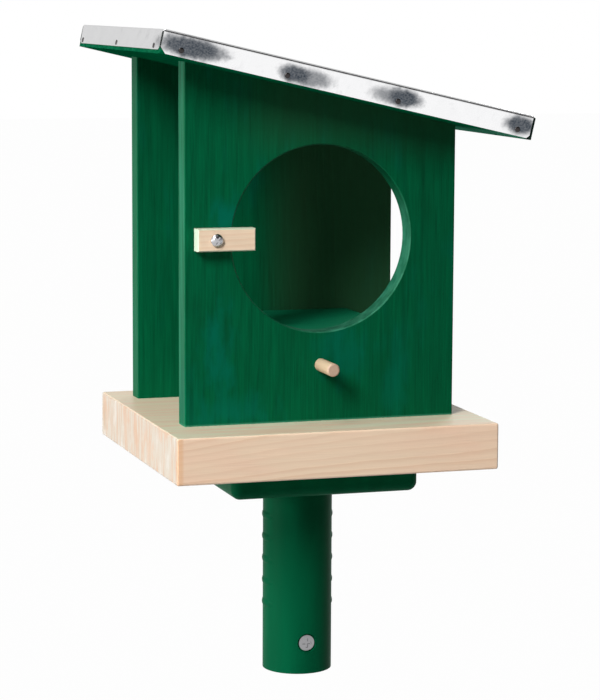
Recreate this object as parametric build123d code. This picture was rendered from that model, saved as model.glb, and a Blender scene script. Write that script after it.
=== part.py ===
from build123d import *
import math
import os

# Pole-top bird feeder: a jar of feed lies on a shelf between two upright boards and
# shows its open mouth through a round hole, under a sloping board roof capped in sheet steel.
# Millimetres, +Z up, front towards -Y, and the roof falls towards +X.
# The origin is the centre of the flat seat inside the pole socket, where the pole's top bears.

# Base board
base_width = 150.0
base_depth = 140.0
base_thickness = 21.0
base_edge_round = 1.0

# Upright boards
wall_width = 127.0
wall_thickness = 10.5
wall_gap = 74.5
front_ledge = 29.0
wall_height = 161.5
wall_edge_round = 0.6

# Round feeding hole
hole_diameter = 84.0
hole_height = 82.5
hole_rim_chamfer = 0.6

# Shelf that carries the jar
shelf_length = 81.0
shelf_thickness = 10.5
shelf_step_down = 0.4

# Perch dowel
perch_diameter = 6.0
perch_reach = 18.2
perch_height = 25.5
perch_end_chamfer = 0.6

# Turn button
button_length = 26.5
button_height = 10.0
button_thickness = 6.4
button_chamfer = 0.5
button_pivot_inset = 8.6
button_overlap = 9.2
button_rise = 1.1
button_gap = 0.4
button_pivot_clearance = 0.3

# Roof board and its folded sheet
roof_slope = 12.8
roof_board_thickness = 10.1
roof_overhang_high = 19.5
roof_overhang_low = 26.1
roof_overhang_side = 29.0
sheet_thickness = 0.5
sheet_gap = 0.1
sheet_inner_bend = 0.5
sheet_side_drop = 10.3
sheet_end_drop = 9.1
sheet_side_clip = 2.4
sheet_end_clip = 1.5
sheet_corner_seam = 0.6

# Pole socket, one plastic moulding
socket_forward = 7.0
plate_size = 88.0
plate_thickness = 12.0
plate_round = 4.3
plate_face = 3.0
plate_skirt = 2.6
plate_hollow_round = 2.0
plate_rib = 2.2
plate_rib_count = 8
screw_boss_wall = 1.6
tube_diameter = 32.2
tube_root_round = 0.8
tube_cap = 3.0
pole_diameter = 28.0
tube_length = 89.0
grip_count = 5
grip_first_drop = 15.9
grip_pitch = 10.4
grip_height = 3.7
grip_proud = 0.55
grip_arc = 56.0
clamp_up = 14.4
clamp_recess = 9.0
clamp_seat = 0.6

# Screws and nails
pilot_gap = 0.05
wood_screw_head = 7.0
wood_screw_head_height = 2.2
wood_screw_shank = 3.4
wood_screw_point = 3.5
wood_screw_recess = 3.4
wall_screw_length = 38.0
wall_screw_inset = 11.5
socket_screw_length = 26.0
socket_screw_inset = 12.5
button_screw_head = 5.6
button_screw_head_height = 2.0
button_screw_rim = 0.7
button_screw_shank = 2.9
button_screw_length = 15.5
button_screw_recess = 3.6
button_screw_turn = 40.0
clamp_screw_head = 7.4
clamp_screw_head_height = 0.8
clamp_screw_rim = 0.4
clamp_screw_shank = 4.4
clamp_screw_recess = 4.4
clamp_screw_recess_depth = 0.6
recess_slot = 1.1
recess_depth = 1.1
nail_head = 2.6
nail_head_height = 0.6
nail_shank = 1.3
nail_length = 12.0
nail_drop = 7.4
nail_passing_gap = 1.7
front_nail_high_inset = 9.5
front_nail_low_inset = 8.0
front_nail_shares = (0, 0.306, 0.634, 1)
end_nail_back_inset = 5.3

# Levels and lines worked out from the sizes above
base_bottom = tube_cap
base_top = base_bottom + base_thickness
base_middle_y = socket_forward
base_front = base_middle_y - base_depth / 2
front_wall_face = base_front + front_ledge
front_wall_back = front_wall_face + wall_thickness
back_wall_front = front_wall_back + wall_gap
back_wall_face = back_wall_front + wall_thickness
house_middle_y = (front_wall_face + back_wall_face) / 2
wall_left = -wall_width / 2
hole_centre_z = base_top + hole_height
shelf_top = hole_centre_z - hole_diameter / 2 - shelf_step_down
plate_bottom = base_bottom - plate_thickness
tube_end = plate_bottom - tube_length

button_pivot_x = -hole_diameter / 2 + button_overlap - button_length + button_pivot_inset
button_pivot_z = hole_centre_z + button_rise
button_back = front_wall_face - button_gap
button_front = button_back - button_thickness
tube_wall = (tube_diameter - pole_diameter) / 2
clamp_z = tube_end + clamp_up

slope = math.radians(roof_slope)
wall_top_high = base_top + wall_height
wall_top_low = wall_top_high - wall_width * math.tan(slope)
wall_top_run = wall_width / math.cos(slope)
roof_length = roof_overhang_high + wall_top_run + roof_overhang_low
roof_width = back_wall_face - front_wall_face + 2 * roof_overhang_side
board_length = roof_length - 2 * (sheet_thickness + sheet_gap)
board_width = roof_width - 2 * (sheet_thickness + sheet_gap)
sheet_top = roof_board_thickness + sheet_gap + sheet_thickness
sheet_outer_bend = sheet_inner_bend + sheet_thickness

# The roof's own frame: along the slope, across to the back, and square off the boards' tops
roof_frame = Plane(
    origin=(wall_left, house_middle_y, wall_top_high),
    x_dir=(math.cos(slope), 0, -math.sin(slope)),
    z_dir=(math.sin(slope), 0, math.cos(slope)),
)
roof_high_end = -roof_overhang_high
roof_low_end = roof_length - roof_overhang_high
roof_middle = (roof_high_end + roof_low_end) / 2


def rod(start, direction, radius, length):
    """A round bar from a start point along a direction."""
    return Plane(origin=start, z_dir=direction) * extrude(Circle(radius), length)


def turned(points):
    """A solid turned about its own Z axis from half its outline."""
    outline = make_face(Polyline(*points, close=True))
    return revolve(Plane.XZ * outline, Axis.Z)


def place_along(solid, start, direction):
    """Stand a turned fastener at a start point, with its point towards a direction."""
    return Plane(origin=start, z_dir=direction) * solid


def cross_recess(width, depth):
    """The cross for the screwdriver, sunk from a head's face."""
    slot = Pos(0, 0, depth / 2) * Box(width, recess_slot, depth)
    return slot + Rot(0, 0, 90) * slot


def wood_screw(length):
    """A flat-head wood screw with its head's face at the start and its point at the end."""
    head = wood_screw_head / 2
    shank = wood_screw_shank / 2
    screw = turned([
        (0, 0),
        (head, 0),
        (shank, wood_screw_head_height),
        (shank, length - wood_screw_point),
        (0, length),
    ])
    return screw - cross_recess(wood_screw_recess, recess_depth)


def pan_head_screw(head, height, rim, shank, length, point):
    """A screw with a domed head, from the top of the dome at the start to its point."""
    end = height + length
    side = Polyline(
        (head / 2, height - rim),
        (head / 2, height),
        (shank / 2, height),
        (shank / 2, end - point),
        (0, end),
        (0, 0),
    )
    dome = TangentArc((0, 0), (head / 2, height - rim), tangent=(1, 0))
    return revolve(Plane.XZ * make_face(Curve() + [dome, side]), Axis.Z)


def wood_screw_hole(length):
    """The room that a wood screw takes in the boards it joins."""
    head = wood_screw_head / 2 + pilot_gap
    shank = wood_screw_shank / 2 + pilot_gap
    return turned([
        (0, 0),
        (head, 0),
        (shank, wood_screw_head_height + pilot_gap),
        (shank, length - wood_screw_point),
        (0, length + pilot_gap),
    ])


def wall_screw_starts(wall_face):
    """Where the two screws of one upright enter the base board from below."""
    middle = wall_face + wall_thickness / 2
    reach = wall_width / 2 - wall_screw_inset
    return [(-reach, middle, base_bottom), (reach, middle, base_bottom)]


def socket_screw_starts():
    """Where the four screws of the socket enter the face of its plate from below."""
    reach = plate_size / 2 - socket_screw_inset
    return [(x, y, plate_bottom) for y in (-reach, reach) for x in (-reach, reach)]


def make_base_board():
    board = Pos(0, base_middle_y, base_bottom + base_thickness / 2) * Box(base_width, base_depth, base_thickness)
    board = fillet(board.edges(), base_edge_round)
    for wall_face in (front_wall_face, back_wall_front):
        for start in wall_screw_starts(wall_face):
            board -= place_along(wood_screw_hole(wall_screw_length), start, (0, 0, 1))
    for start in socket_screw_starts():
        board -= place_along(wood_screw_hole(socket_screw_length), start, (0, 0, 1))
    return board


def wall_blank(wall_face):
    """An upright board whose top is cut to the roof's slope."""
    outline = Polyline(
        (wall_left, wall_face, base_top),
        (-wall_left, wall_face, base_top),
        (-wall_left, wall_face, wall_top_low),
        (wall_left, wall_face, wall_top_high),
        close=True,
    )
    board = extrude(make_face(outline), wall_thickness, dir=(0, 1, 0))
    board = fillet(board.edges().filter_by(Axis.Z), wall_edge_round)
    for start in wall_screw_starts(wall_face):
        board -= place_along(wood_screw_hole(wall_screw_length), start, (0, 0, 1))
    return board


def is_feeding_hole_rim(edge):
    return math.isclose(edge.radius, hole_diameter / 2, rel_tol=1e-6)


def make_front_wall():
    board = wall_blank(front_wall_face)
    board -= rod((0, front_wall_face, hole_centre_z), (0, 1, 0), hole_diameter / 2, wall_thickness)
    board -= rod((0, front_wall_face, base_top + perch_height), (0, 1, 0), perch_diameter / 2, wall_thickness)
    pilot_depth = button_screw_length - button_thickness - button_gap
    pilot_start = (button_pivot_x, front_wall_face, button_pivot_z)
    board -= rod(pilot_start, (0, 1, 0), button_screw_shank / 2 + pilot_gap, pilot_depth + pilot_gap)
    rims = board.edges().filter_by(GeomType.CIRCLE).filter_by(is_feeding_hole_rim)
    return chamfer(rims, hole_rim_chamfer)


def make_back_wall():
    return wall_blank(back_wall_front)


def make_shelf():
    middle_y = (front_wall_back + back_wall_front) / 2
    return Pos(0, middle_y, shelf_top - shelf_thickness / 2) * Box(shelf_length, wall_gap, shelf_thickness)


def make_perch():
    start = (0, front_wall_back, base_top + perch_height)
    dowel = rod(start, (0, -1, 0), perch_diameter / 2 - pilot_gap, wall_thickness + perch_reach)
    free_end = dowel.edges().group_by(Axis.Y)[0]
    return chamfer(free_end, perch_end_chamfer)


def make_turn_button():
    middle_x = button_pivot_x - button_pivot_inset + button_length / 2
    middle_y = (button_front + button_back) / 2
    block = Pos(middle_x, middle_y, button_pivot_z) * Box(button_length, button_thickness, button_height)
    block = chamfer(block.edges().group_by(Axis.Y)[0], button_chamfer)
    bore = rod(
        (button_pivot_x, button_front, button_pivot_z),
        (0, 1, 0),
        button_screw_shank / 2 + button_pivot_clearance,
        button_thickness,
    )
    return block - bore


def make_turn_button_screw():
    screw = pan_head_screw(
        button_screw_head,
        button_screw_head_height,
        button_screw_rim,
        button_screw_shank,
        button_pivot_clearance + button_screw_length,
        wood_screw_point,
    )
    screw -= Rot(0, 0, button_screw_turn) * cross_recess(button_screw_recess, recess_depth)
    head_top = button_front - button_pivot_clearance - button_screw_head_height
    return place_along(screw, (button_pivot_x, head_top, button_pivot_z), (0, 1, 0))


def roof_block(length, width, height, top):
    """A block in the roof's frame, centred on the roof, with its top face at a height."""
    return Pos(roof_middle, 0, top - height / 2) * Box(length, width, height)


def nail_row(first, last, shares):
    """Places of a row of nails, each a share of the way from the first to the last."""
    return [first + share * (last - first) for share in shares]


def front_nail_places():
    """Distances along the slope of the nails in the front flange, spaced by hand."""
    first = roof_high_end + front_nail_high_inset
    last = roof_low_end - front_nail_low_inset
    return nail_row(first, last, front_nail_shares)


def back_nail_places():
    """Distances along the slope of the nails in the back flange."""
    inset = nail_length + nail_passing_gap
    return nail_row(roof_high_end + inset, roof_low_end - inset, (0, 1 / 3, 2 / 3, 1))


def end_nail_places():
    """Distances across the roof of the nails in the high and low flanges."""
    first = nail_length + nail_passing_gap - roof_width / 2
    return nail_row(first, roof_width / 2 - end_nail_back_inset, (0, 1 / 2, 1))


def nail():
    head = nail_head / 2
    shank = nail_shank / 2
    return turned([
        (0, 0),
        (head, 0),
        (head, nail_head_height),
        (shank, nail_head_height),
        (shank, nail_length - nail_shank),
        (0, nail_length),
    ])


def nail_hole():
    return turned([
        (0, 0),
        (nail_head / 2 + pilot_gap, 0),
        (nail_head / 2 + pilot_gap, nail_head_height),
        (nail_shank / 2 + pilot_gap, nail_head_height),
        (nail_shank / 2 + pilot_gap, nail_length + pilot_gap),
        (0, nail_length + pilot_gap),
    ])


def nails_in_flange(fastener, flange):
    """The fasteners of one flange, in the roof's frame."""
    height = sheet_top - nail_drop
    half = roof_width / 2
    high = roof_high_end - nail_head_height
    low = roof_low_end + nail_head_height
    spots = {
        "front": [((u, -half - nail_head_height, height), (0, 1, 0)) for u in front_nail_places()],
        "back": [((u, half + nail_head_height, height), (0, -1, 0)) for u in back_nail_places()],
        "high": [((high, v, height), (1, 0, 0)) for v in end_nail_places()],
        "low": [((low, v, height), (-1, 0, 0)) for v in end_nail_places()],
    }
    return [place_along(fastener, start, way) for start, way in spots[flange]]


def make_nails(flange):
    return Compound(children=[roof_frame * part for part in nails_in_flange(nail(), flange)])


def cut_nail_holes(board):
    for flange in ("front", "back", "high", "low"):
        for hole in nails_in_flange(nail_hole(), flange):
            board -= hole
    return board


def make_roof_board():
    """The roof board, its upper edges eased so that the sheet folds over them."""
    board = roof_block(board_length, board_width, roof_board_thickness, roof_board_thickness)
    board = fillet(board.edges().group_by(Axis.Z)[-1], sheet_inner_bend)
    return roof_frame * cut_nail_holes(board)


def folded_block(inset, bend):
    """A block that fills the folded sheet to a depth inside its outer faces."""
    deep = max(sheet_side_drop, sheet_end_drop)
    block = roof_block(roof_length - 2 * inset, roof_width - 2 * inset, deep, sheet_top - inset)
    return fillet(block.edges().group_by(Axis.Z)[-1], bend)


def corner_wedge(corner, along, inward, clip):
    """A wedge that takes a fold's lower corner off at 45 degrees."""
    corner = Vector(*corner)
    outline = Polyline(corner, corner + Vector(*along) * clip, corner + Vector(0, 0, clip), close=True)
    return extrude(make_face(outline), sheet_thickness + sheet_corner_seam, dir=inward)


def make_roof_sheet():
    """One sheet folded down on four sides, with an open seam and clipped corners at each end of a fold."""
    sheet = folded_block(0, sheet_outer_bend) - folded_block(sheet_thickness, sheet_inner_bend)
    inner_length = roof_length - 2 * sheet_thickness
    inner_width = roof_width - 2 * sheet_thickness
    fold_depth = max(sheet_side_drop, sheet_end_drop)
    if fold_depth > sheet_end_drop:
        sheet -= roof_block(roof_length, inner_width, fold_depth, sheet_top - sheet_end_drop)
    if fold_depth > sheet_side_drop:
        sheet -= roof_block(inner_length, roof_width, fold_depth, sheet_top - sheet_side_drop)

    seam_middle = inner_width / 2 - sheet_corner_seam / 2
    slot = roof_block(roof_length, sheet_corner_seam, fold_depth, sheet_top - sheet_outer_bend)
    for side in (-1, 1):
        sheet -= Pos(0, side * seam_middle, 0) * slot
        for end, way in ((roof_high_end, 1), (roof_low_end, -1)):
            side_corner = (end, side * roof_width / 2, sheet_top - sheet_side_drop)
            sheet -= corner_wedge(side_corner, (way, 0, 0), (0, -side, 0), sheet_side_clip)
            end_corner = (end, side * (inner_width / 2 - sheet_corner_seam), sheet_top - sheet_end_drop)
            sheet -= corner_wedge(end_corner, (0, -side, 0), (way, 0, 0), sheet_end_clip)
    return roof_frame * cut_nail_holes(sheet)


def make_plate():
    """The socket's plate: a shallow tray face down, its open side against the base board."""
    tray = Pos(0, 0, base_bottom - plate_thickness / 2) * Box(plate_size, plate_size, plate_thickness)
    tray = fillet(tray.edges().filter_by(Axis.Z) + tray.edges().group_by(Axis.Z)[0], plate_round)
    depth = plate_thickness - plate_face
    middle = Pos(0, 0, base_bottom - depth / 2)
    inside = plate_size - 2 * plate_skirt
    hollow = middle * Box(inside, inside, depth)
    tray -= fillet(hollow.edges().filter_by(Axis.Z), plate_hollow_round)
    for i in range(plate_rib_count // 2):
        rib = Rot(0, 0, i * 360 / plate_rib_count) * Box(inside * math.sqrt(2), plate_rib, depth)
        tray += middle * (rib & Box(inside, inside, depth))
    boss_radius = wood_screw_head / 2 + screw_boss_wall
    for x, y, start in socket_screw_starts():
        tray += rod((x, y, start + plate_face), (0, 0, 1), boss_radius, depth)
    return tray


def make_grip(side, height):
    """A low rounded ridge on one side of the tube, for the hand that pushes it onto a pole.

    It turns about an axis set off towards its side, so that it fades into the tube at both ends.
    """
    radius = tube_diameter / 2
    crown = radius + grip_proud
    end_reach = radius * math.cos(math.radians(grip_arc / 2))
    offset = (crown**2 - radius**2) / (2 * (crown - end_reach))
    turn = 2 * math.degrees(math.acos((end_reach - offset) / (crown - offset)))
    foot = radius - offset
    inside = foot - tube_wall / 2
    curve = ThreePointArc((foot, -grip_height / 2), (crown - offset, 0), (foot, grip_height / 2))
    root = Polyline(
        (foot, grip_height / 2),
        (inside, grip_height / 2),
        (inside, -grip_height / 2),
        (foot, -grip_height / 2),
    )
    ridge = revolve(Plane.XZ * make_face(Curve() + [curve, root]), Axis.Z, turn)
    return Pos(side * offset, 0, height) * Rot(0, 0, (0 if side > 0 else 180) - turn / 2) * ridge


def is_tube_root(edge):
    at_plate = math.isclose(edge.center().Z, plate_bottom, abs_tol=1e-3)
    return at_plate and math.isclose(edge.radius, tube_diameter / 2, rel_tol=1e-6)


def make_pole_socket():
    """The moulded socket: plate, tube with its grips, blind bore for the pole and clamp hole."""
    body = make_plate() + rod((0, 0, base_bottom), (0, 0, -1), tube_diameter / 2, base_bottom - tube_end)
    body = fillet(body.edges().filter_by(GeomType.CIRCLE).filter_by(is_tube_root), tube_root_round)
    for i in range(grip_count):
        for side in (-1, 1):
            body += make_grip(side, plate_bottom - grip_first_drop - i * grip_pitch)
    body -= rod((0, 0, 0), (0, 0, -1), pole_diameter / 2, -tube_end)
    for start in socket_screw_starts():
        body -= place_along(wood_screw_hole(socket_screw_length), start, (0, 0, 1))
    recess_depth_at_front = tube_wall - clamp_seat
    front = (0, -tube_diameter / 2, clamp_z)
    body -= rod(front, (0, 1, 0), clamp_recess / 2, recess_depth_at_front)
    body -= rod(front, (0, 1, 0), clamp_screw_shank / 2 + pilot_gap, 2 * tube_wall)
    return body


def make_clamp_screw():
    """The clamp screw, backed off until its end is level with the bore."""
    screw = pan_head_screw(
        clamp_screw_head,
        clamp_screw_head_height,
        clamp_screw_rim,
        clamp_screw_shank,
        clamp_seat - pilot_gap,
        0,
    )
    screw -= cross_recess(clamp_screw_recess, clamp_screw_recess_depth)
    head_top = -tube_diameter / 2 + tube_wall - clamp_seat - clamp_screw_head_height
    return place_along(screw, (0, head_top, clamp_z), (0, 1, 0))


def make_screws(length, starts):
    """One flat-head screw for each start point."""
    return [place_along(wood_screw(length), start, (0, 0, 1)) for start in starts]


def all_pieces():
    pieces = {
        "base_board": make_base_board(),
        "front_wall": make_front_wall(),
        "back_wall": make_back_wall(),
        "shelf": make_shelf(),
        "perch": make_perch(),
        "turn_button": make_turn_button(),
        "turn_button_screw": make_turn_button_screw(),
        "roof_board": make_roof_board(),
        "roof_sheet": make_roof_sheet(),
        "pole_socket": make_pole_socket(),
        "clamp_screw": make_clamp_screw(),
    }
    for flange in ("front", "back", "high", "low"):
        pieces[f"roof_nails_{flange}"] = make_nails(flange)
    for name, face in (("front", front_wall_face), ("back", back_wall_front)):
        screws = make_screws(wall_screw_length, wall_screw_starts(face))
        for side, screw in zip(("left", "right"), screws):
            pieces[f"{name}_wall_screw_{side}"] = screw
    corners = ("front_left", "front_right", "back_left", "back_right")
    for corner, screw in zip(corners, make_screws(socket_screw_length, socket_screw_starts())):
        pieces[f"socket_screw_{corner}"] = screw
    return pieces


os.makedirs("parts", exist_ok=True)
for node, shape in all_pieces().items():
    export_step(shape, f"parts/{node}.step")
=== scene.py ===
import math

import bmesh
import bpy
from mathutils import Matrix, Vector, noise


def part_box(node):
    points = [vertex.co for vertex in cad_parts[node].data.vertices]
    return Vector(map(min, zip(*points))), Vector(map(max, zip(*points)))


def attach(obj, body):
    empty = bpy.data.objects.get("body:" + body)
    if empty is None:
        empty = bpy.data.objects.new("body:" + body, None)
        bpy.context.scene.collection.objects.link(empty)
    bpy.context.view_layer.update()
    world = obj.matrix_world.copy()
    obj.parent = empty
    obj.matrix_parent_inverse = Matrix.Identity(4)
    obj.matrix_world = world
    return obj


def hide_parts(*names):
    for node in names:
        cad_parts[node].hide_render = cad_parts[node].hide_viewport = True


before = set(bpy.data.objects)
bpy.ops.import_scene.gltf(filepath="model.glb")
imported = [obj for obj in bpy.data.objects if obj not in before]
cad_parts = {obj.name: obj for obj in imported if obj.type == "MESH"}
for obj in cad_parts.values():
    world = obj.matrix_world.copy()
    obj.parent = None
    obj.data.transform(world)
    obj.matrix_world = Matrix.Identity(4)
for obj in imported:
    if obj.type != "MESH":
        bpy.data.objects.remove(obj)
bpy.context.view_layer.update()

MM = 0.001
ACROSS = Vector((0, 1, 0))
UP = Vector((0, 0, 1))

# The camera, worked out from the straight edges of the boards
CAMERA_PLACE = Vector((-359.4, -1125.3, 214.4)) * MM
CAMERA_YAW = math.radians(17.755)
CAMERA_PITCH = math.radians(7.840)
CAMERA_ROLL = math.radians(0.269)
FOCAL_LENGTH = 132.5
FILM_LONG_SIDE = 36.0

# The lamps: azimuth and elevation in degrees, distance, width and height in metres, power in watts
LAMP_TARGET = UP * 80 * MM
LAMPS = {
    "key": (-44, 33, 2.4, 0.59, 0.88, 58),
    "side": (-91, 4, 1.6, 0.7, 0.7, 18),
    "low": (-50, 0, 1.8, 0.8, 0.6, 1.5),
    "top": (-60, 62, 1.7, 0.6, 0.6, 7),
    "behind": (138, 10, 2.2, 0.9, 0.9, 26),
}

# The floor, in metres below the top of the pole, and its size
FLOOR_BELOW = 1.3
FLOOR_SIZE = 60.0
FLOOR_WHITENESS = 0.985

# The roof's own directions: down the slope, and square off the boards' tops
ROOF_SLOPE = math.radians(12.8)
DOWN_SLOPE = Vector((math.cos(ROOF_SLOPE), 0, -math.sin(ROOF_SLOPE)))
OFF_SLOPE = Vector((math.sin(ROOF_SLOPE), 0, math.cos(ROOF_SLOPE)))
FLANGES = {"front": -ACROSS, "back": ACROSS, "high": -DOWN_SLOPE, "low": DOWN_SLOPE}

# The folded roof sheet
SHEET_THICKNESS = 0.5 * MM
SHEET_BEND = 1.3 * MM
SIDE_DROP = 10.3 * MM
END_DROP = 9.1 * MM
HIGH_CLIP = 2.4 * MM
LOW_CLIP = 1.3 * MM
END_CLIP = 1.5 * MM
CORNER_SEAM = 2.4 * MM
HIGH_SEAM = 0.35 * MM
LOW_SEAM = 1.9 * MM

# How finely the sheet is divided, and how its faces are joined
BEND_STEPS = 5
FLAP_STEPS = 13
SHEET_PITCH = 1.0 * MM
PANEL_PITCH = 2.5 * MM
SHEET_WELD = 0.01 * MM
SMOOTH_BELOW = math.radians(32)

# The waves of its hand-folded edges, and the dishes that the nails pull into it
WAVE_AT_BEND = 0.05 * MM
WAVE_AT_EDGE = 0.30 * MM
WAVE_LENGTH = 17 * MM
FINE_WAVE_SHARE = 0.3
DISH_DEPTH = 0.6 * MM
DISH_RADIUS = 2.0 * MM

# The nails in their dishes
PLAIN_HEAD_HEIGHT = 0.6 * MM
NAIL_HEAD_RADIUS = 1.2 * MM
NAIL_SHANK_RADIUS = 0.6 * MM
NAIL_SHANK = 0.24 * MM
NAIL_DOME = 0.3 * MM
NAIL_RIM = 0.12 * MM
NAIL_SEGMENTS = 32
DOME_STEPS = 5
CORNER_WELD = 0.001 * MM

# The round feeding hole in the front wall, in millimetres
HOLE_HEIGHT = 106.5
HOLE_RADIUS = 42.0

# Teal patches on the front wall, in millimetres: middle, height, half width, half height, strength
TEAL_PATCHES = [
    (-45.0, 118.0, 12.0, 13.0, 0.9),
    (-48.0, 56.0, 10.0, 32.0, 0.7),
    (-44.0, 30.0, 26.0, 12.0, 0.6),
    (11.0, 54.0, 17.0, 18.0, 0.5),
    (35.0, 41.0, 9.0, 24.0, 0.35),
]

# Smoky patches on the flanges, in millimetres: flange and nail, how far down the slope and up the
# flange from that nail, half length, half height, strength
SMOKE_PATCHES = [
    ("front", 0, 3.4, 2.0, 20.0, 6.0, 0.93),
    ("front", 0, 8.0, 2.4, 17.0, 5.6, 0.6),
    ("front", 1, 3.0, 1.5, 9.5, 5.0, 0.93),
    ("front", 1, 10.0, 1.2, 15.0, 5.2, 0.74),
    ("front", 2, 2.6, 1.9, 10.5, 5.2, 0.94),
    ("front", 2, -2.0, 1.6, 15.0, 5.2, 0.72),
    ("front", 3, 0.8, 1.9, 10.5, 5.6, 0.97),
    ("back", 0, 6.0, 2.0, 12.0, 6.0, 0.9),
    ("back", 2, -3.0, 1.4, 10.0, 5.0, 0.9),
    ("low", 1, 0.0, 2.0, 10.0, 5.0, 0.8),
]

# The Mix node's colour sockets, by number, because its other kinds share their names
MIX_SHARE = 0
MIX_FIRST = 6
MIX_SECOND = 7
MIX_RESULT = 2


def srgb(red, green, blue):
    """A colour given in 8-bit screen values, as the shader's own linear values."""
    def linear(value):
        share = value / 255
        return share / 12.92 if share <= 0.04045 else ((share + 0.055) / 1.055) ** 2.4
    return (linear(red), linear(green), linear(blue))


# The green stain, where it is full, teal, deep, thin or pale at sawn edges, and what is painted on it: a
# brownish haze in shade, a pale sheen, a pale rim with a highlight, and shade in the seams
STAIN = srgb(0, 85, 52)
TEAL_STAIN = srgb(0, 98, 76)
TEAL_MARK = srgb(0, 98, 77)
DEEP_STAIN = srgb(2, 70, 41)
THIN_STAIN = srgb(16, 124, 88)
SHADOW_HAZE = srgb(34, 80, 50)
INNER_SHADE_HAZE = srgb(48, 84, 54)
PALE_SAWN_EDGE = srgb(46, 130, 101)
LOW_END_SHEEN = srgb(84, 156, 132)
PALE_RIM_AND_HIGHLIGHT = srgb(72, 150, 120)
SEAM_SHADE = srgb(20, 20, 20)
STAIN_SHEEN = 0.04

# The base's pine: planed faces, sawn ends, knot, glue, green bloom and resin
PINE = srgb(236, 209, 181)
BLUSHED_PINE = srgb(238, 203, 176)
LATE_PINE = srgb(214, 166, 128)
SAWN_PINE = srgb(192, 182, 167)
LATE_SAWN_PINE = srgb(182, 154, 124)
SAW_MARK = srgb(188, 156, 128)
WARM_BAND = srgb(198, 150, 112)
GREY_BAND = srgb(208, 206, 200)
KNOT = srgb(180, 146, 112)
GLUE = srgb(170, 130, 92)
GREEN_BLOOM = srgb(216, 234, 206)
RESIN = srgb(226, 172, 122)

# The bare wood of the perch and the turn button
PERCH_WOOD = srgb(196, 172, 142)
PERCH_LATE_WOOD = srgb(186, 144, 106)
PERCH_END = srgb(192, 160, 140)
BUTTON_WOOD = srgb(238, 212, 184)
BUTTON_LATE_WOOD = srgb(222, 178, 138)
# The button's end and side colours are pale green: a painted reflection of the green wall
BUTTON_END_REFLECTION = srgb(182, 204, 184)
BUTTON_SIDE_REFLECTION = srgb(190, 210, 186)

# Metal, plastic and floor
ZINC = srgb(253, 253, 254)
SMOKE = srgb(46, 57, 69)
# The nail steel is made far darker than steel: painted shade for the heads sunk in their dishes
SHADED_NAIL_STEEL = srgb(66, 63, 63)
SCREW_STEEL = srgb(188, 188, 191)
CLAMP_STEEL = srgb(158, 158, 160)
PLASTIC = srgb(0, 77, 48)
PALE_PLASTIC = srgb(0, 83, 52)
FLOOR_GREY = srgb(225, 225, 225)
WHITE = (1, 1, 1)


class Wire:
    """A value in a material. Sums, products and the like of wires add Math nodes."""

    def __init__(self, finish, socket):
        self.finish = finish
        self.socket = socket

    def __add__(self, other):
        return self.finish.maths("ADD", self, other)

    __radd__ = __add__

    def __sub__(self, other):
        return self.finish.maths("SUBTRACT", self, other)

    def __rsub__(self, other):
        return self.finish.maths("SUBTRACT", other, self)

    def __mul__(self, other):
        return self.finish.maths("MULTIPLY", self, other)

    __rmul__ = __mul__

    def __truediv__(self, other):
        return self.finish.maths("DIVIDE", self, other)

    def __rtruediv__(self, other):
        return self.finish.maths("DIVIDE", other, self)


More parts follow.
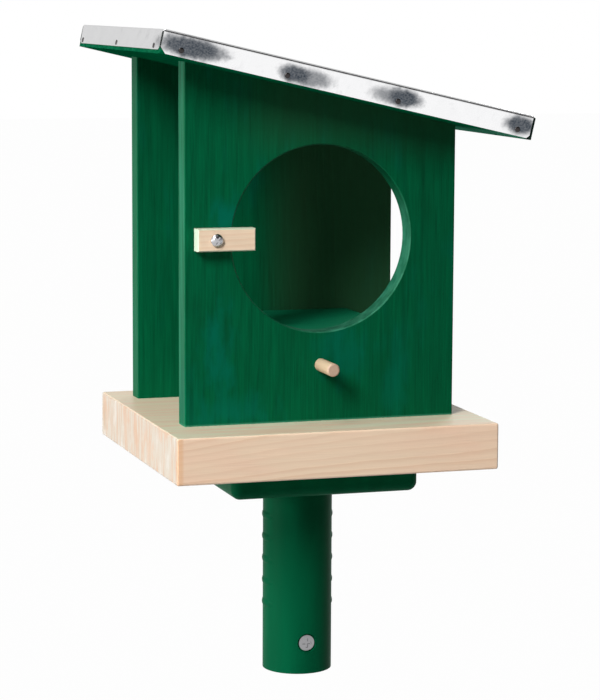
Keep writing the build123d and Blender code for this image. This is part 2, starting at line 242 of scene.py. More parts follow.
class Finish:
    """One material or the world's background, built by adding nodes."""

    def __init__(self, owner):
        self.owner = owner
        owner.use_nodes = True
        self.tree = owner.node_tree
        self.tree.nodes.clear()

    def node(self, kind, settings=None, inputs=None, output=0):
        """Adds a node of any kind, with its settings and its inputs, and gives one of its outputs."""
        made = self.tree.nodes.new(kind)
        for name, value in (settings or {}).items():
            setattr(made, name, value)
        for name, value in (inputs or {}).items():
            self.feed(made.inputs[name], value)
        return Wire(self, made.outputs[output]) if made.outputs else None

    def feed(self, socket, value):
        """Links a wire to a socket, or sets the socket to a plain value."""
        if isinstance(value, Wire):
            self.tree.links.new(value.socket, socket)
        elif socket.type == "RGBA":
            socket.default_value = (*value[:3], 1.0)
        else:
            socket.default_value = value

    def maths(self, operation, *values):
        return self.node("ShaderNodeMath", {"operation": operation}, dict(enumerate(values)))

    def larger(self, first, second):
        return self.maths("MAXIMUM", first, second)

    def smaller(self, first, second):
        return self.maths("MINIMUM", first, second)

    def magnitude(self, value):
        return self.maths("ABSOLUTE", value)

    def distance(self, *legs):
        """The distance made up by legs that are square to each other."""
        return self.maths("SQRT", sum(leg * leg for leg in legs))

    def step(self, value, low, high):
        """Rises smoothly from 0 to 1 as the value goes from low to high."""
        inputs = {"Value": value, "From Min": low, "From Max": high}
        return self.node("ShaderNodeMapRange", {"interpolation_type": "SMOOTHSTEP"}, inputs)

    def span(self, value, low, high):
        """Turns a value from 0 to 1 into one from low to high."""
        return self.node("ShaderNodeMapRange", None, {"Value": value, "To Min": low, "To Max": high})

    def blend(self, share, first, second):
        """Mixes two colours: the first at a share of 0, the second at 1."""
        inputs = {MIX_SHARE: share, MIX_FIRST: first, MIX_SECOND: second}
        return self.node("ShaderNodeMix", {"data_type": "RGBA"}, inputs, MIX_RESULT)

    def tint(self, colour, strength):
        """A colour made lighter or darker by a value around 1."""
        grey = self.node("ShaderNodeCombineXYZ", None, {"X": strength, "Y": strength, "Z": strength})
        return self.scaled(colour, grey)

    def scaled(self, vector, factors):
        return self.node("ShaderNodeVectorMath", {"operation": "MULTIPLY"}, {0: vector, 1: factors})

    def shifted(self, vector, offsets):
        return self.node("ShaderNodeVectorMath", {"operation": "ADD"}, {0: vector, 1: offsets})

    def dot(self, vector, direction):
        inputs = {0: vector, 1: tuple(direction)}
        return self.node("ShaderNodeVectorMath", {"operation": "DOT_PRODUCT"}, inputs, "Value")

    def outputs_of(self, kind, inputs=None):
        """Every output of a node, as wires by name."""
        made = self.node(kind, None, inputs).socket.node
        return {socket.name: Wire(self, socket) for socket in made.outputs}

    def parts(self, vector):
        """The x, y and z of a vector."""
        return list(self.outputs_of("ShaderNodeSeparateXYZ", {"Vector": vector}).values())

    def coordinates(self, kind):
        return self.outputs_of("ShaderNodeTexCoord")[kind]

    def millimetres(self):
        """Places on the object in millimetres."""
        return self.scaled(self.coordinates("Object"), (1 / MM, 1 / MM, 1 / MM))

    def facing(self):
        """The way that each place on the surface faces, as x, y and z."""
        return self.parts(self.coordinates("Normal"))

    def cloud(self, vector, scale, detail=2.0, roughness=0.5):
        inputs = {"Vector": vector, "Scale": scale, "Detail": detail, "Roughness": roughness}
        return self.node("ShaderNodeTexNoise", None, inputs)

    def bump(self, height, distance):
        return self.node("ShaderNodeBump", None, {"Height": height, "Distance": distance, "Strength": 1.0})

    def surface(self, **sockets):
        """Finishes the material with one surface shader, its sockets named in words."""
        names = {name.replace("_", " "): value for name, value in sockets.items()}
        shader = self.node("ShaderNodeBsdfPrincipled", None, names)
        self.node("ShaderNodeOutputMaterial", None, {"Surface": shader})
        return self.owner


# Timber

def along_grain(axes, along):
    """The three coordinates of a place, with the one along the grain first."""
    first = "XYZ".index(along)
    return axes[first], axes[(first + 1) % 3], axes[(first + 2) % 3]


def growth_rings(finish, place, along, pith, lean, spacing, wobble):
    """Growth rings, their pith and spacing in millimetres: 0 in pale early wood, 1 in dark late bands."""
    length, side, other = along_grain(finish.parts(place), along)
    drawn_out = finish.scaled(place, tuple(0.15 if axis == along else 1.0 for axis in "XYZ"))
    sway = finish.cloud(drawn_out, 0.045, detail=3.0) - 0.5
    fine_sway = finish.cloud(drawn_out, 0.35) - 0.5
    radius = finish.distance(side - pith[0] - length * lean[0], other - pith[1] - length * lean[1])
    ring = (radius + sway * wobble + fine_sway * (0.12 * wobble)) / spacing
    share = finish.maths("FRACT", ring)
    late = finish.step(share, 0.35, 0.9) * (1 - finish.step(share, 0.92, 1.0))
    year = finish.maths("FLOOR", ring)
    strength = finish.node("ShaderNodeTexWhiteNoise", {"noise_dimensions": "1D"}, {"W": year})
    return late * finish.span(strength, 0.45, 1.0)


def fibres(finish, place, along, scale, stretch, seed):
    """Fine lines drawn out along the grain, around a half."""
    factors = tuple(scale / stretch if axis == along else scale for axis in "XYZ")
    drawn_out = finish.shifted(finish.scaled(place, factors), (seed, 2 * seed, 3 * seed))
    return finish.cloud(drawn_out, 1.0, detail=3.0, roughness=0.6)


def end_grain(finish, along):
    """1 on the faces that cut across the grain and 0 along it."""
    across = along_grain(finish.facing(), along)[0]
    return finish.step(finish.magnitude(across), 0.45, 0.80)


def sawn_edges(finish):
    """1 on a board's faces to the left and right, where it was sawn, and 0 elsewhere."""
    return finish.step(finish.magnitude(finish.facing()[0]), 0.90, 0.99)


def green_stain(name, along, pith, lean, seed, edge_paleness, touches, sheen=STAIN_SHEEN):
    """Pine under a thin dark green stain, with the grain and the stain's own streaks showing."""
    finish = Finish(bpy.data.materials.new(name))
    place = finish.shifted(finish.millimetres(), (7 * seed, 0, 11 * seed))
    rings = growth_rings(finish, place, along, pith, lean, spacing=3.4, wobble=9.0)
    broad = fibres(finish, place, along, 0.055, 3.0, seed)
    streaks = fibres(finish, place, along, 0.38, 16.0, seed + 1)
    threads = fibres(finish, place, along, 0.85, 30.0, seed + 4)
    hairs = fibres(finish, place, along, 1.9, 40.0, seed + 2)
    pores = finish.step(fibres(finish, place, along, 3.2, 26.0, seed + 3), 0.66, 0.78)
    ends = end_grain(finish, along)

    colour = finish.blend(finish.step(broad, 0.55, 0.75) * 0.5, STAIN, TEAL_STAIN)
    colour = finish.blend(finish.step(broad, 0.46, 0.30) * 0.35, colour, DEEP_STAIN)
    lines = (streaks - 0.5) * 0.45 + (threads - 0.5) * 0.60 + (hairs - 0.5) * 0.60
    colour = finish.tint(colour, 1 + lines - rings * 0.14 - pores * 0.28 - ends * 0.25)
    # The sawn left and right faces are paler, in streaks
    thin = finish.span(finish.step(streaks, 0.35, 0.65), 0.10 * edge_paleness, 0.50 * edge_paleness)
    colour = finish.blend(sawn_edges(finish) * thin, colour, PALE_SAWN_EDGE)
    relief = streaks * 0.25 + hairs * 0.5 - pores * 0.6 - rings * 0.3
    return finish.surface(
        Base_Color=touches(finish, colour),
        Roughness=finish.span(streaks, 0.46, 0.58),
        Specular_IOR_Level=sheen,
        Normal=finish.bump(relief, 0.12 * MM),
    )


def soft_marks(finish, across, height, marks, ragged):
    """Soft-edged marks on an upright face, each a middle, a half width and height, and a strength."""
    found = 0
    for middle, level, reach, rise, strength in marks:
        away = finish.distance((across - middle) / reach, (height - level) / rise) + ragged
        found = finish.larger(found, (1 - finish.step(away, 0.0, 1.0)) * strength)
    return found


def hole_rim(finish, place, across, above):
    """Where the hole's inside is, and how pale its saw lines are, with a painted highlight along its edge
    at the lower right.
    """
    radius = finish.distance(across, above)
    inside = 1 - finish.step(radius, HOLE_RADIUS, HOLE_RADIUS + 0.5)
    saw_lines = finish.step(finish.cloud(finish.scaled(place, (0.02, 2.6, 0.02)), 1.0), 0.50, 0.60)
    arris = 1 - finish.step(finish.magnitude(radius - HOLE_RADIUS - 0.2), 0.1, 0.5)
    # Painted highlight: the edge of the hole is made pale at the lower right, where it faces the light
    lit_lower_right = finish.step(across - above, 5.0, 45.0)
    patchy = finish.step(finish.cloud(place, 0.18, detail=3.0), 0.35, 0.6)
    pale = finish.larger(inside * saw_lines * 0.22, arris * lit_lower_right * 0.5)
    return inside, pale * finish.span(patchy, 0.5, 1.0)


def front_touches(finish, colour):
    """The front wall's own marks: teal patches, painted shade darkening the right side, a painted brownish
    haze in the roof's shadow at the top right, and a pale rim and foot with a painted highlight at the
    hole's lower right.
    """
    place = finish.millimetres()
    axes = finish.parts(place)
    across, height = axes[0], axes[2]
    # Painted shade: the stain darkens from left to right, standing in for the light falling off away from
    # the lamps on the left
    colour = finish.tint(colour, finish.span(finish.step(across, -50.0, 60.0), 1.02, 0.88))
    # Painted shade: a brownish haze laid at the top right, where the roof's shadow falls on the wall
    roof_shadow_top_right = finish.step(height, 135.0, 168.0) * finish.step(across, -50.0, -10.0)
    colour = finish.blend(roof_shadow_top_right * 0.7, colour, SHADOW_HAZE)
    ragged = (finish.cloud(finish.scaled(place, (1.0, 1.0, 0.4)), 0.22, detail=4.0) - 0.5) * 1.8
    colour = finish.blend(soft_marks(finish, across, height, TEAL_PATCHES, ragged), colour, TEAL_MARK)
    inside, rim = hole_rim(finish, place, across, height - HOLE_HEIGHT)
    colour = finish.tint(colour, finish.span(inside, 1.0, 0.80))
    foot = 1 - finish.step(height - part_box("front_wall")[0].z / MM, 0.2, 1.0)
    return finish.blend(finish.larger(rim, foot * 0.5), colour, PALE_RIM_AND_HIGHLIGHT)


def back_touches(finish, colour):
    """The back wall's own marks: painted shade under the roof, and a painted brownish haze on the inner
    face to the right, where it lies in shade.
    """
    axes = finish.parts(finish.millimetres())
    across, height = axes[0], axes[2]
    # Painted shade: the stain darkens towards the top, under the roof
    colour = finish.tint(colour, finish.span(finish.step(height, 185.0, 100.0), 0.75, 1.0))
    inner_face = finish.step(finish.facing()[1], -0.5, -0.9)
    # Painted shade: a brownish haze on the inner face to the right, where the inside of the house lies in
    # shade
    return finish.blend(finish.step(across, -8.0, 20.0) * inner_face * 0.7, colour, INNER_SHADE_HAZE)


def shelf_touches(finish, colour):
    """Thinner stain on the shelf, with more of the wood showing."""
    return finish.blend(0.55, colour, THIN_STAIN)


def roof_touches(finish, colour):
    """The roof board's own marks: a painted pale sheen at its low end, and painted shade on its corners
    behind the open seams of the sheet.
    """
    corners = [vertex.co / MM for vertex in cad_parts["roof_board"].data.vertices]
    slopes = [corner.dot(DOWN_SLOPE) for corner in corners]
    depths = [corner.y for corner in corners]
    underside = min(corner.dot(OFF_SLOPE) for corner in corners)
    place = finish.millimetres()
    along = finish.dot(place, DOWN_SLOPE)
    depth = finish.parts(place)[1]
    low_end = finish.step(along, max(slopes) - 26.0, max(slopes) - 14.0)
    # Painted sheen: the low end of the board is made pale mint, standing in for light caught there at a
    # grazing angle
    colour = finish.blend(low_end * 0.45, colour, LOW_END_SHEEN)
    # Painted shade: the board's corners are darkened where they show through the open seams, standing in
    # for the shadow in the gaps
    from_end = finish.smaller(along - min(slopes), max(slopes) - along)
    from_side = finish.smaller(depth - min(depths), max(depths) - depth)
    corner_shade = (1 - finish.step(from_end, 2.4, 3.4)) * (1 - finish.step(from_side, 2.4, 3.4))
    above_clip = finish.step(finish.dot(place, OFF_SLOPE), underside + 1.8, underside + 2.8)
    painted_seam_shade = corner_shade * finish.larger(above_clip, low_end)
    return finish.blend(painted_seam_shade * 0.92, colour, SEAM_SHADE)


def front_wall_stain():
    front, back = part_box("front_wall")
    pith = (20.0, (front.y + back.y) / 2 / MM + 74.0)
    return green_stain("green_front", "Z", pith, (0.03, 0.02), seed=2, edge_paleness=0.85, touches=front_touches)


def back_wall_stain():
    pith = (-25.0, 130.0)
    return green_stain("green_back", "Z", pith, (-0.02, 0.03), seed=5, edge_paleness=0.2, touches=back_touches)


def shelf_stain():
    pith = (18.0, 34.0)
    return green_stain("green_shelf", "X", pith, (0.12, 0.08), seed=8, edge_paleness=1.0, touches=shelf_touches)


def roof_board_stain():
    pith = (0.0, 90.0)
    lean = (0.01, -0.2)
    return green_stain("green_roof", "X", pith, lean, seed=11, edge_paleness=0.35, touches=roof_touches, sheen=0.0)


def stave_rings(finish, place, joints):
    """The rings of the base's three staves, each with its own pith, lean and spacing."""
    staves = [
        ((joints[1] + 60.0, -32.0), (0.02, 0.15), 1.0),
        ((joints[0] - 80.0, 34.0), (0.01, -0.03), 1.5),
        ((joints[0] - 60.0, -12.0), (-0.02, 0.02), 1.3),
    ]
    looks = [growth_rings(finish, place, "X", pith, lean, spacing, 2.6) for pith, lean, spacing in staves]
    depth = finish.parts(place)[1]
    rings = looks[0]
    for joint, next_rings in zip(joints, looks[1:]):
        beyond = finish.maths("GREATER_THAN", depth, joint)
        rings = rings * (1 - beyond) + next_rings * beyond
    return rings


def sawn_end(finish, place, rings, back):
    """The base's sawn ends: upright saw marks, warm and grey bands, and a knot near the back."""
    saw_marks = fibres(finish, place, "Z", 0.36, 8.0, 6)
    bands = fibres(finish, place, "Z", 0.15, 3.0, 9)
    colour = finish.blend(rings * 0.3, SAWN_PINE, LATE_SAWN_PINE)
    colour = finish.blend(finish.step(saw_marks, 0.47, 0.60) * 0.7, colour, SAW_MARK)
    colour = finish.blend(finish.step(bands, 0.54, 0.60) * 0.45, colour, WARM_BAND)
    colour = finish.blend(finish.step(bands, 0.44, 0.38) * 0.45, colour, GREY_BAND)
    axes = finish.parts(place)
    knots = [(back - 6.0, 12.0, 3.5, 10.0, 0.8)]
    return finish.blend(soft_marks(finish, axes[1], axes[2], knots, ragged=0), colour, KNOT)


def base_touches(finish, colour, place, streaks):
    """A thin green bloom on the top, where stain has run, and a resin-warm left end of the front."""
    axes = finish.parts(place)
    across, depth = axes[0], axes[1]
    facing = finish.facing()
    top = finish.step(facing[2], 0.7, 0.95)
    before_wall = finish.step(depth, -28.0, -36.0)
    bloom = top * finish.span(finish.step(streaks, 0.40, 0.58), 0.15, 1.0)
    colour = finish.blend(bloom * finish.span(before_wall, 0.35, 0.55), colour, GREEN_BLOOM)
    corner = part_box("base_board")[0].x / MM
    warm = (1 - finish.step(across - corner, 2.2, 3.6)) * finish.step(facing[1], -0.6, -0.95)
    colour = finish.blend(warm * 0.5, colour, RESIN)
    return finish.tint(colour, finish.span(top, 1.0, 0.90))


def base_pine():
    """Planed pine, edge-glued from three staves that each have their own rings."""
    finish = Finish(bpy.data.materials.new("planed_pine"))
    front, back = (corner.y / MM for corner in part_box("base_board"))
    joints = [front + (back - front) / 3, front + (back - front) * 2 / 3]
    place = finish.millimetres()
    depth = finish.parts(place)[1]
    rings = stave_rings(finish, place, joints)
    glue = sum(1 - finish.step(finish.magnitude(depth - joint), 0.05, 0.22) for joint in joints)
    streaks = fibres(finish, place, "X", 0.30, 18.0, 3)
    hairs = fibres(finish, place, "X", 2.1, 34.0, 4)
    blush = fibres(finish, place, "X", 0.045, 3.0, 5)

    colour = finish.blend(finish.step(blush, 0.35, 0.7), PINE, BLUSHED_PINE)
    colour = finish.blend(rings * 0.30, colour, LATE_PINE)
    colour = finish.blend(end_grain(finish, "X"), colour, sawn_end(finish, place, rings, back))
    colour = finish.blend(glue * 0.35, colour, GLUE)
    colour = base_touches(finish, colour, place, streaks)
    colour = finish.tint(colour, 1 + (streaks - 0.5) * 0.12 + (hairs - 0.5) * 0.10)
    relief = hairs * 0.5 + rings * 0.3 - glue * 0.8
    return finish.surface(
        Base_Color=colour,
        Roughness=finish.span(streaks, 0.34, 0.44),
        Specular_IOR_Level=0.5,
        Normal=finish.bump(relief, 0.08 * MM),
    )


def sanded_wood(name, along, pith, seed, wood, late_wood, end, edge=None):
    """Sanded bare wood; an edge colour goes on every face but the front."""
    finish = Finish(bpy.data.materials.new(name))
    place = finish.shifted(finish.millimetres(), (seed, seed, seed))
    shifted_pith = (pith[0] + seed, pith[1] + seed)
    rings = growth_rings(finish, place, along, shifted_pith, (0.01, 0.04), spacing=2.2, wobble=2.0)
    hairs = fibres(finish, place, along, 2.6, 26.0, seed)
    streaks = fibres(finish, place, along, 0.5, 10.0, seed + 1)
    colour = finish.blend(rings * 0.35, wood, late_wood)
    colour = finish.blend(end_grain(finish, along) * 0.7, colour, end)
    if edge:
        forward = finish.step(finish.facing()[1], -0.75, -0.97)
        colour = finish.blend((1 - forward) * 0.7, colour, edge)
    colour = finish.tint(colour, 1 + (streaks - 0.5) * 0.16 + (hairs - 0.5) * 0.14)
    return finish.surface(
        Base_Color=colour,
        Roughness=finish.span(hairs, 0.48, 0.62),
        Specular_IOR_Level=0.35,
        Normal=finish.bump(hairs * 0.6 + rings * 0.2, 0.06 * MM),
    )


def perch_dowel():
    return sanded_wood("perch_dowel", "Y", (51.0, 2.0), 3, PERCH_WOOD, PERCH_LATE_WOOD, PERCH_END)


def button_block():
    # The button's ends and sides carry a painted pale green reflection of the wall
    colours = (BUTTON_WOOD, BUTTON_LATE_WOOD, BUTTON_END_REFLECTION, BUTTON_SIDE_REFLECTION)
    return sanded_wood("button_wood", "X", (-31.0, 92.0), 6, *colours)


# Metal and plastic

def smoke_cover(finish, place, mottle, drift, stains):
    """How much smoke lies on the zinc: nearly none in the open, and up to 1 in each patch's middle."""
    cover = finish.step(drift, 0.56, 0.76) * 0.10
    for centre, reach, rise, strength in stains:
        away = finish.shifted(place, tuple(-value / MM for value in centre))
        along = finish.dot(away, DOWN_SLOPE) / reach
        upward = finish.dot(away, OFF_SLOPE) / rise
        inward = finish.parts(away)[1] / reach
        ragged = (mottle - 0.5) * 0.35 + (drift - 0.5) * 0.45
        patch = (1 - finish.step(finish.distance(along, upward, inward) + ragged, 0.40, 1.0)) * strength
        cover = 1 - (1 - cover) * (1 - patch)
    return cover


def galvanised_sheet(stains):
    """Bright zinc with faint crystals, and smoky dark patches where the nails have dished it."""
    finish = Finish(bpy.data.materials.new("galvanised_sheet"))
    place = finish.millimetres()
    crystals = finish.outputs_of("ShaderNodeTexVoronoi", {"Vector": place, "Scale": 0.22})
    crystal_tone = finish.parts(crystals["Color"])[0]
    mottle = finish.cloud(place, 0.5, detail=3.0, roughness=0.55)
    drift = finish.cloud(place, 0.14, detail=3.0, roughness=0.6)
    rolling = finish.cloud(finish.scaled(place, (0.12, 1.4, 1.4)), 1.0)
    wisps = finish.cloud(finish.scaled(place, (1.0, 1.0, 1.3)), 1.1, detail=4.0, roughness=0.6)
    cover = smoke_cover(finish, place, mottle, drift, stains)
    smoke = cover * finish.span(finish.step(wisps, 0.32, 0.68), 1.0, 0.88)
    bright = finish.tint(ZINC, finish.span(crystal_tone, 0.97, 1.0))
    relief = rolling * 0.4 + mottle * 0.3 + crystal_tone * 0.15
    return finish.surface(
        Base_Color=finish.blend(smoke, bright, SMOKE),
        Metallic=1.0,
        Roughness=finish.span(mottle, 0.18, 0.24) + cover * 0.12 + crystal_tone * 0.04,
        Normal=finish.bump(relief, 0.03 * MM),
    )


def plated_steel(name, colour, roughness):
    """Plated steel of the fasteners, with a faint tool-worn mottle."""
    finish = Finish(bpy.data.materials.new(name))
    place = finish.millimetres()
    mottle = finish.cloud(place, 1.8, detail=3.0)
    scuffs = finish.cloud(finish.scaled(place, (0.6, 6.0, 6.0)), 1.0)
    return finish.surface(
        Base_Color=finish.tint(colour, finish.span(mottle, 0.86, 1.1)),
        Metallic=1.0,
        Roughness=finish.span(scuffs, roughness - 0.06, roughness + 0.1),
        Normal=finish.bump(mottle, 0.02 * MM),
    )


def moulded_plastic():
    """Dark green moulded plastic, satin, with a fine grain, faint flow marks and a parting line."""
    finish = Finish(bpy.data.materials.new("moulded_green_plastic"))
    place = finish.millimetres()
    axes = finish.parts(place)
    grain = finish.cloud(place, 2.4, detail=3.0, roughness=0.6)
    flow = finish.cloud(finish.scaled(place, (1.0, 1.0, 0.18)), 0.12)
    below_plate = finish.step(axes[2], -9.0, -11.0)
    parting = (1 - finish.step(finish.magnitude(axes[1]), 0.05, 0.22)) * below_plate
    colour = finish.blend(finish.step(flow, 0.35, 0.7), PLASTIC, PALE_PLASTIC)
    return finish.surface(
        Base_Color=finish.tint(colour, finish.span(grain, 0.94, 1.06) - parting * 0.12),
        Roughness=finish.span(grain, 0.42, 0.52),
        Specular_IOR_Level=0.03,
        Normal=finish.bump(grain * 0.35 + parting, 0.05 * MM),
    )


# Reading places from the solids

def loose_parts(node):
    """The separate solids of one node, each as a list of its corners."""
    work = bmesh.new()
    work.from_mesh(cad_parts[node].data)
    bmesh.ops.remove_doubles(work, verts=work.verts, dist=CORNER_WELD)
    # A dict keeps its order, as a set would not, so that every run gives the same places
    unreached = dict.fromkeys(work.verts)
    found = []
    while unreached:
        waiting = [unreached.popitem()[0]]
        part = list(waiting)
        while waiting:
            for edge in waiting.pop().link_edges:
                for corner in edge.verts:
                    if corner in unreached:
                        del unreached[corner]
                        waiting.append(corner)
                        part.append(corner)
        found.append([corner.co.copy() for corner in part])
    work.free()
    return found


def nail_places(flange):
    """Where each nail goes through a flange's outer face, in their order along the flange."""
    outward = FLANGES[flange]
    places = []
    for corners in loose_parts(f"roof_nails_{flange}"):
        reach = max(corner.dot(outward) for corner in corners)
        head = [corner for corner in corners if corner.dot(outward) > reach - PLAIN_HEAD_HEIGHT / 2]
        middle = sum(head, Vector()) / len(head)
        places.append(middle - outward * PLAIN_HEAD_HEIGHT)
    return sorted(places, key=lambda place: place.x + place.y)


# Meshes

def new_piece(name, work, material):
    """Turns working geometry into a piece, smooth apart from its open and sharp edges."""
    bmesh.ops.recalc_face_normals(work, faces=work.faces)
    for face in work.faces:
        face.smooth = True
    for edge in work.edges:
        edge.smooth = len(edge.link_faces) == 2 and edge.calc_face_angle() < SMOOTH_BELOW
    mesh = bpy.data.meshes.new(name)
    work.to_mesh(mesh)
    work.free()
    mesh.materials.append(material)
    piece = bpy.data.objects.new(name, mesh)
    bpy.context.scene.collection.objects.link(piece)
    return piece


def add_grid(work, rows):
    """Joins rows of points, all as long, into a sheet of four-sided faces."""
    made = [[work.verts.new(point) for point in row] for row in rows]
    for upper, lower in zip(made, made[1:]):
        for i in range(len(upper) - 1):
            work.faces.new((upper[i], upper[i + 1], lower[i + 1], lower[i]))


def add_turned(work, profile, base, axis):
    """A closed turned solid; the profile gives radius and height from its base up to its tip."""
    side = axis.orthogonal().normalized()
    other = axis.cross(side)
    turns = [i * 2 * math.pi / NAIL_SEGMENTS for i in range(NAIL_SEGMENTS)]
    spokes = [side * math.cos(turn) + other * math.sin(turn) for turn in turns]
    rings = []
    for radius, height in profile:
        middle = base + axis * height
        if radius == 0:
            rings.append([work.verts.new(middle)])
        else:
            rings.append([work.verts.new(middle + spoke * radius) for spoke in spokes])
    for lower, upper in zip(rings, rings[1:]):
        for i in range(NAIL_SEGMENTS):
            pairs = [(lower, i), (lower, i + 1), (upper, i + 1), (upper, i)]
            corners = [ring[place % len(ring)] for ring, place in pairs]
            # Where a ring is a single point, two corners fall together and count once
            work.faces.new(list(dict.fromkeys(corners)))


def even_shares(start, end, pitch):
    """Even shares from 0 to 1 that divide a length into steps of about one pitch."""
    count = round((end - start) / pitch)
    return [i / count for i in range(count + 1)]


class RoofSheet:
    """The outer face of the folded sheet: a panel and four flaps, dished at every nail."""

    def __init__(self, nails):
        corners = [vertex.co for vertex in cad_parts["roof_sheet"].data.vertices]
        self.high = min(corner.dot(DOWN_SLOPE) for corner in corners)
        self.low = max(corner.dot(DOWN_SLOPE) for corner in corners)
        self.front = min(corner.y for corner in corners)
        self.back = max(corner.y for corner in corners)
        self.top = max(corner.dot(OFF_SLOPE) for corner in corners)
        self.nails = nails

    def place(self, along, across, drop):
        """The point that lies down the slope, towards the back, and a drop below the panel."""
        return DOWN_SLOPE * along + ACROSS * across + OFF_SLOPE * (self.top - drop)

    def pressed(self, point, facing, drop):
        """A point pushed in by the waves of a hand-folded edge and by the dishes round the nails."""
        edge = min(drop / SIDE_DROP, 1)
        wave = WAVE_AT_BEND + (WAVE_AT_EDGE - WAVE_AT_BEND) * edge
        depth = 0
        for share in (1, FINE_WAVE_SHARE):
            depth += share * wave * (0.5 + 0.5 * noise.noise(point / (share * WAVE_LENGTH)))
        for nail in self.nails:
            away = (point - nail).length / DISH_RADIUS
            depth += DISH_DEPTH * math.exp(-away * away)
        return point - facing * depth

    def flat_limits(self):
        """Where the flat panel starts and ends, down the slope and then from front to back."""
        along = (self.high + SHEET_BEND, self.low - SHEET_BEND)
        across = (self.front + SHEET_BEND, self.back - SHEET_BEND)
        return along, across

    def panel_rows(self):
        (start, end), (near, far) = self.flat_limits()
        rows = []
        for across in even_shares(near, far, PANEL_PITCH):
            row = []
            for along in even_shares(start, end, SHEET_PITCH):
                point = self.place(start + along * (end - start), near + across * (far - near), 0)
                row.append(self.pressed(point, OFF_SLOPE, 0))
            rows.append(row)
        return rows

    def flap_levels(self, drop):
        """How far out and down each row of a flap lies, and how far its face has turned."""
        levels = []
        for i in range(BEND_STEPS + 1):
            turn = i / BEND_STEPS * math.pi / 2
            levels.append((SHEET_BEND * math.sin(turn), SHEET_BEND * (1 - math.cos(turn)), turn))
        for i in range(1, FLAP_STEPS + 1):
            levels.append((SHEET_BEND, SHEET_BEND + i / FLAP_STEPS * (drop - SHEET_BEND), math.pi / 2))
        return levels

    def side_flap_rows(self, edge, outward):
        """The front or back flap: it runs the whole length and has clipped lower corners."""
        (start, end), _ = self.flat_limits()
        rows = []
        for out, down, turn in self.flap_levels(SIDE_DROP):
            above_edge = SIDE_DROP - down
            high_gap = HIGH_SEAM * math.sin(turn) + max(0, HIGH_CLIP - above_edge)
            low_gap = LOW_SEAM * math.sin(turn) + max(0, LOW_CLIP - above_edge)
            row_start, row_end = start - out + high_gap, end + out - low_gap
            facing = outward * math.sin(turn) + OFF_SLOPE * math.cos(turn)
            row = []
            for share in even_shares(start, end, SHEET_PITCH):
                point = self.place(row_start + share * (row_end - row_start), edge, down)
                row.append(self.pressed(point - outward * (SHEET_BEND - out), facing, down))
            rows.append(row)
        return rows

    def end_flap_rows(self, edge, outward):
        """The high or low flap, tucked between the front and back ones with an open seam."""
        _, (near, far) = self.flat_limits()
        rows = []
        for out, down, turn in self.flap_levels(END_DROP):
            inset = (CORNER_SEAM - SHEET_BEND) * math.sin(turn) + max(0, END_CLIP - (END_DROP - down))
            facing = outward * math.sin(turn) + OFF_SLOPE * math.cos(turn)
            row = []
            for share in even_shares(near, far, PANEL_PITCH):
                across = near + inset + share * (far - near - 2 * inset)
                point = self.place(edge, across, down) - outward * (SHEET_BEND - out)
                row.append(self.pressed(point, facing, down))
            rows.append(row)
        return rows

    def build(self, material):
        """The whole sheet, its flaps joined to the panel, with its thickness added inwards."""
        work = bmesh.new()
        add_grid(work, self.panel_rows())
        add_grid(work, self.side_flap_rows(self.front, -ACROSS))
        add_grid(work, self.side_flap_rows(self.back, ACROSS))
        add_grid(work, self.end_flap_rows(self.high, -DOWN_SLOPE))
        add_grid(work, self.end_flap_rows(self.low, DOWN_SLOPE))
        bmesh.ops.remove_doubles(work, verts=work.verts, dist=SHEET_WELD)
        sheet = new_piece("pressed_roof_sheet", work, material)
        if sheet.data.polygons[0].normal.dot(OFF_SLOPE) < 0:
            sheet.data.flip_normals()
        shell = sheet.modifiers.new("thickness", "SOLIDIFY")
        shell.thickness = SHEET_THICKNESS
        shell.offset = -1
        return sheet


def nail_heads(name, places, outward, material):
    """Low domed heads that sit at the bottom of their dishes, on short shanks."""
    profile = [(0, -NAIL_SHANK), (NAIL_SHANK_RADIUS, -NAIL_SHANK), (NAIL_HEAD_RADIUS, 0)]
    for i in range(DOME_STEPS):
        turn = i / DOME_STEPS * math.pi / 2
        profile.append((NAIL_HEAD_RADIUS * math.cos(turn), NAIL_RIM + NAIL_DOME * math.sin(turn)))
    profile.append((0, NAIL_RIM + NAIL_DOME))
    work = bmesh.new()
    for place in places:
        add_turned(work, profile, place - outward * DISH_DEPTH, outward)
    return new_piece(name, work, material)


# The whole

def dress_roof():
    """The pressed sheet and the nails that hold it, in place of their plain solids."""
    places = {flange: nail_places(flange) for flange in FLANGES}
    stains = []
    for flange, nail, down, up, reach, rise, strength in SMOKE_PATCHES:
        middle = places[flange][nail] + (DOWN_SLOPE * down + OFF_SLOPE * up) * MM
        stains.append((middle, reach, rise, strength))
    all_nails = [place for group in places.values() for place in group]
    sheet = RoofSheet(all_nails).build(galvanised_sheet(stains))
    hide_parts("roof_sheet")
    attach(sheet, "root")
    steel = plated_steel("darkened_nail_steel", SHADED_NAIL_STEEL, 0.30)
    for flange, outward in FLANGES.items():
        heads = nail_heads(f"domed_nails_{flange}", places[flange], outward, steel)
        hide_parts(f"roof_nails_{flange}")
        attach(heads, "root")


def finish_solids():
    """Gives every solid that shows as it is its own material."""
    screw_steel = plated_steel("screw_steel", SCREW_STEEL, 0.22)
    looks = {
        "base_board": base_pine(),
        "front_wall": front_wall_stain(),
        "back_wall": back_wall_stain(),
        "shelf": shelf_stain(),
        "roof_board": roof_board_stain(),
        "perch": perch_dowel(),
        "turn_button": button_block(),
        "pole_socket": moulded_plastic(),
        "clamp_screw": plated_steel("clamp_steel", CLAMP_STEEL, 0.30),
    }
    for name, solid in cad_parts.items():
        material = looks.get(name, screw_steel if "screw" in name else None)
        if material is None:
            continue
        for slot in solid.material_slots:
            slot.material = material


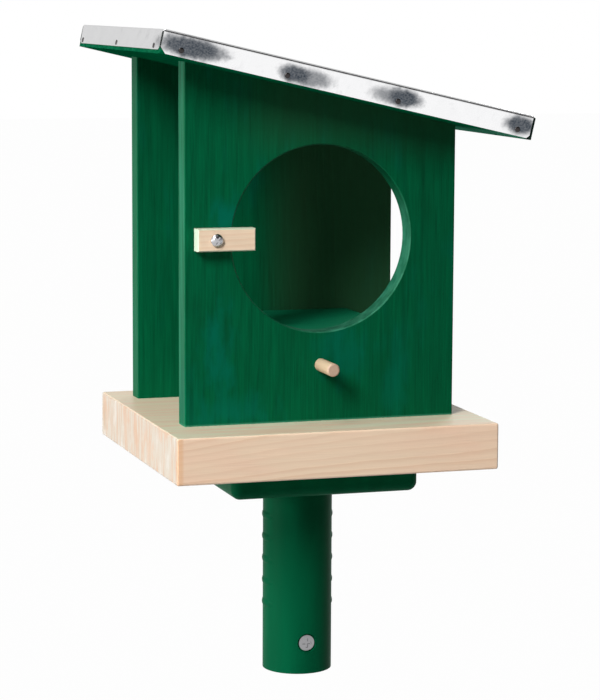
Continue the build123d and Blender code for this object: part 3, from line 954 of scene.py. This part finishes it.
def add_floor():
    """A plain pale floor, well below, where the pole would stand."""
    bpy.ops.mesh.primitive_plane_add(size=FLOOR_SIZE, location=-UP * FLOOR_BELOW)
    floor = bpy.context.object
    floor.name = "floor"
    finish = Finish(bpy.data.materials.new("pale_floor"))
    rays = finish.outputs_of("ShaderNodeLightPath")
    seen = finish.larger(rays["Is Camera Ray"], rays["Is Glossy Ray"])
    seen = finish.larger(seen, rays["Is Transmission Ray"])
    matt = finish.node("ShaderNodeBsdfDiffuse", None, {"Color": FLOOR_GREY})
    white = finish.node("ShaderNodeEmission", None, {"Color": WHITE, "Strength": 1.0})
    mixed = finish.node("ShaderNodeMixShader", None, {0: seen * FLOOR_WHITENESS, 1: matt, 2: white})
    finish.node("ShaderNodeOutputMaterial", None, {"Surface": mixed})
    floor.data.materials.append(finish.owner)


def reflected_studio(finish, right, back, height):
    """What metal shows: a dark band above the front horizon, and greys above, right and behind."""
    band = finish.step(height, 0.15, 0.40) * finish.step(height, 0.93, 0.80) * finish.step(back, 0.0, -0.30)
    brightness = finish.span(band, 1.0, 0.04)
    brightness = brightness * finish.span(finish.step(height, 0.3, 0.7), 1.0, 0.62)
    brightness = brightness * finish.span(finish.step(right, 0.5, 0.8), 1.0, 0.45)
    return brightness * finish.span(finish.step(back, 0.1, 0.6), 1.0, 0.68)


def light_world():
    """A studio that is white to the eye, shaded in reflections, and dim as a light."""
    world = bpy.data.worlds.new("studio")
    bpy.context.scene.world = world
    finish = Finish(world)
    rays = finish.outputs_of("ShaderNodeLightPath")
    right, back, height = finish.parts(finish.coordinates("Generated"))
    mirrored = reflected_studio(finish, right, back, height)
    ambient = finish.span(finish.step(right, -0.8, 0.8), 0.11, 0.04)
    seen = finish.larger(rays["Is Camera Ray"], rays["Is Transmission Ray"])
    glossy = rays["Is Glossy Ray"] * (1 - seen)
    strength = seen + glossy * mirrored + (1 - seen) * (1 - glossy) * ambient
    background = finish.node("ShaderNodeBackground", None, {"Color": WHITE, "Strength": strength})
    finish.node("ShaderNodeOutputWorld", None, {"Surface": background})


def add_softbox(name, azimuth, elevation, distance, width, height, power):
    """A soft lamp that looks at the house; azimuth 0 is in front and 90 is on the right."""
    turn, rise = math.radians(azimuth), math.radians(elevation)
    away = Vector((math.sin(turn) * math.cos(rise), -math.cos(turn) * math.cos(rise), math.sin(rise)))
    lamp = bpy.data.lights.new(name, "AREA")
    lamp.shape = "RECTANGLE"
    lamp.size = width
    lamp.size_y = height
    lamp.energy = power
    holder = bpy.data.objects.new(name, lamp)
    holder.location = LAMP_TARGET + away * distance
    holder.rotation_mode = "QUATERNION"
    holder.rotation_quaternion = away.to_track_quat("Z", "Y")
    bpy.context.scene.collection.objects.link(holder)


def add_lights():
    light_world()
    for name, settings in LAMPS.items():
        add_softbox(name, *settings)


def add_camera():
    """The camera of the photo, turned by its yaw, pitch and roll."""
    forward = Vector((
        math.sin(CAMERA_YAW) * math.cos(CAMERA_PITCH),
        math.cos(CAMERA_YAW) * math.cos(CAMERA_PITCH),
        -math.sin(CAMERA_PITCH),
    ))
    level_right = Vector((math.cos(CAMERA_YAW), -math.sin(CAMERA_YAW), 0))
    level_up = level_right.cross(forward)
    right = level_right * math.cos(CAMERA_ROLL) + level_up * math.sin(CAMERA_ROLL)
    up = level_up * math.cos(CAMERA_ROLL) - level_right * math.sin(CAMERA_ROLL)
    camera = bpy.data.cameras.new("camera")
    camera.lens = FOCAL_LENGTH
    camera.sensor_width = FILM_LONG_SIDE
    holder = bpy.data.objects.new("camera", camera)
    turn = Matrix((right, up, -forward)).transposed().to_4x4()
    holder.matrix_world = Matrix.Translation(CAMERA_PLACE) @ turn
    bpy.context.scene.collection.objects.link(holder)
    bpy.context.scene.camera = holder


finish_solids()
dress_roof()
add_floor()
add_lights()
add_camera()
bpy.context.scene.view_settings.view_transform = "Standard"
